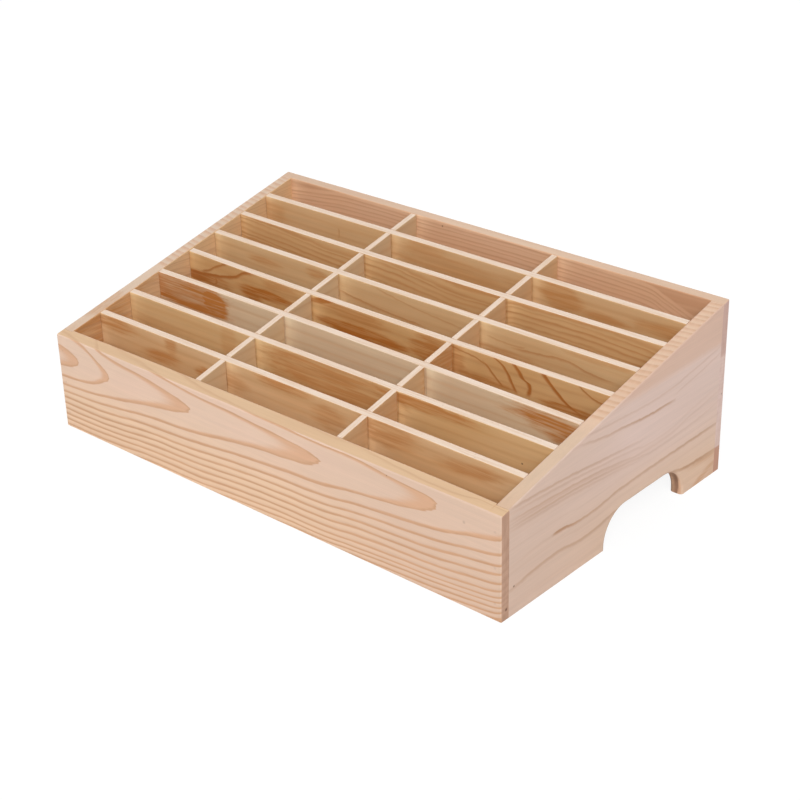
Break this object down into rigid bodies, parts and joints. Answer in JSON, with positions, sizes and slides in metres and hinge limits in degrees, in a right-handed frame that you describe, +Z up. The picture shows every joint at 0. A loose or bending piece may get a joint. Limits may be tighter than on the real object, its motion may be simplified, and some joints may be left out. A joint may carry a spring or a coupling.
{
  "type": "sloping storage rack",
  "caption": "Open-topped sloping pine rack with a lattice of thin dividers over a raised floor, and a hand-hold cut into the bottom edge of each side.",
  "frame": {"origin": "middle of the footprint, on the surface that the rack stands on", "axes": "+X to the right of someone facing the low front, +Y to the high back, +Z up"},
  "size_m": [0.37, 0.22, 0.1164],
  "materials": {
    "front_pine": "clear satin lacquer",
    "back_pine": "clear satin lacquer",
    "side_pine": "clear satin lacquer",
    "divider_pine": "clear satin lacquer",
    "floor_ply": "plain thin plywood",
    "brad_steel": "bright drawn wire"
  },
  "bodies": {
    "root": {"front_board": "front_pine", "back_board": "back_pine", "left_side_board": "side_pine", "right_side_board": "side_pine", "floor_panel": "floor_ply", "long_divider_1": "divider_pine", "long_divider_2": "divider_pine", "cross_divider_1": "divider_pine", "cross_divider_2": "divider_pine", "cross_divider_3": "divider_pine", "cross_divider_4": "divider_pine", "cross_divider_5": "divider_pine", "cross_divider_6": "divider_pine", "cross_divider_7": "divider_pine", "front_left_brads": "brad_steel", "front_right_brads": "brad_steel", "rear_left_brads": "brad_steel", "rear_right_brads": "brad_steel"}
  },
  "joints": []
}
